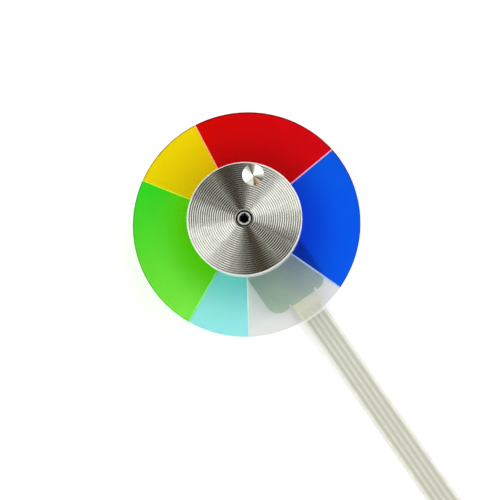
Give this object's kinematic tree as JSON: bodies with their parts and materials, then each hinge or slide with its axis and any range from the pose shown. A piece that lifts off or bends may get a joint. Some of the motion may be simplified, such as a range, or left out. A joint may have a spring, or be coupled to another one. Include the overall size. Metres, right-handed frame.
{
  "type": "projector color wheel",
  "caption": "Spinning ring of coloured glass filters on a small brushless motor with a grooved metal hub and a flat cable, for a single-chip projector.",
  "frame": {"origin": "on the spin axis at the underside of the base plate", "axes": "+Z along the spin axis towards the grooved cap; the cable leaves in the +X -Y quarter"},
  "size_m": [0.075, 0.0967, 0.0129],
  "materials": {
    "red_filter_glass": "polished, dichroic coated",
    "yellow_filter_glass": "polished, dichroic coated",
    "green_filter_glass": "polished, dichroic coated",
    "cyan_filter_glass": "polished, dichroic coated",
    "clear_filter_glass": "polished, anti-reflection coated",
    "blue_filter_glass": "polished, dichroic coated",
    "adhesive": "cured adhesive",
    "turned_aluminium": "turned, bright",
    "drawn_steel": "nickel plated",
    "bonded_magnet": "bonded magnet, epoxy coated",
    "ground_steel": "ground",
    "spring_steel": "tempered",
    "bearing_steel": "ground and polished",
    "cage_steel": "pressed",
    "turned_brass": "turned",
    "cast_aluminium": "machined, satin",
    "laminated_steel": "varnished laminations",
    "insulator_plastic": "moulded",
    "enamelled_copper": "enamelled wire",
    "solder": "reflowed solder",
    "board_laminate": "solder-masked laminate",
    "cable_film": "polyester film over flat conductors",
    "cream_tape": "paper-backed tape",
    "stiffener_film": "polyester film",
    "tinned_copper": "tinned"
  },
  "bodies": {
    "base": {"base_plate": "cast_aluminium", "bearing_housing": "turned_brass", "end_cap": "drawn_steel", "lower_bearing_outer_ring": "bearing_steel", "upper_bearing_outer_ring": "bearing_steel", "preload_washer": "spring_steel", "stator_core": "laminated_steel", "stator_insulator_lower": "insulator_plastic", "stator_insulator_upper": "insulator_plastic", "coils_phase_u": "enamelled_copper", "coils_phase_v": "enamelled_copper", "coils_phase_w": "enamelled_copper", "coil_leads": "enamelled_copper", "coil_solder_joints": "solder", "circuit_board": "board_laminate", "cable_solder_joints": "solder", "ribbon_cable": "cable_film", "cable_tape": "cream_tape", "cable_end_stiffener": "stiffener_film", "cable_contacts": "tinned_copper"},
    "wheel": {"filter_red": "red_filter_glass", "filter_yellow": "yellow_filter_glass", "filter_green": "green_filter_glass", "filter_cyan": "cyan_filter_glass", "filter_clear": "clear_filter_glass", "filter_blue": "blue_filter_glass", "filter_bond_lower": "adhesive", "filter_bond_upper": "adhesive", "balance_cap": "turned_aluminium", "filter_carrier": "turned_aluminium", "rotor_cup": "drawn_steel", "magnet_ring": "bonded_magnet", "motor_shaft": "ground_steel", "retaining_clip": "spring_steel", "lower_bearing_inner_ring": "bearing_steel", "upper_bearing_inner_ring": "bearing_steel"},
    "lower_ball_set": {"lower_bearing_balls": "bearing_steel", "lower_bearing_cage": "cage_steel"},
    "upper_ball_set": {"upper_bearing_balls": "bearing_steel", "upper_bearing_cage": "cage_steel"}
  },
  "joints": [
    {"name": "wheel_spin", "type": "hinge", "parent": "base", "child": "wheel", "pos_m": [0, 0, 0.01], "axis": [0, 0, 1], "continuous": true},
    {"name": "lower_balls_roll", "type": "hinge", "parent": "base", "child": "lower_ball_set", "pos_m": [0, 0, 0.0019], "axis": [0, 0, 1], "continuous": true},
    {"name": "upper_balls_roll", "type": "hinge", "parent": "base", "child": "upper_ball_set", "pos_m": [0, 0, 0.0061], "axis": [0, 0, 1], "continuous": true}
  ],
  "couplings": [
    {"joint": "lower_balls_roll", "follows": "wheel_spin", "ratio": 0.38824},
    {"joint": "upper_balls_roll", "follows": "wheel_spin", "ratio": 0.38824}
  ]
}
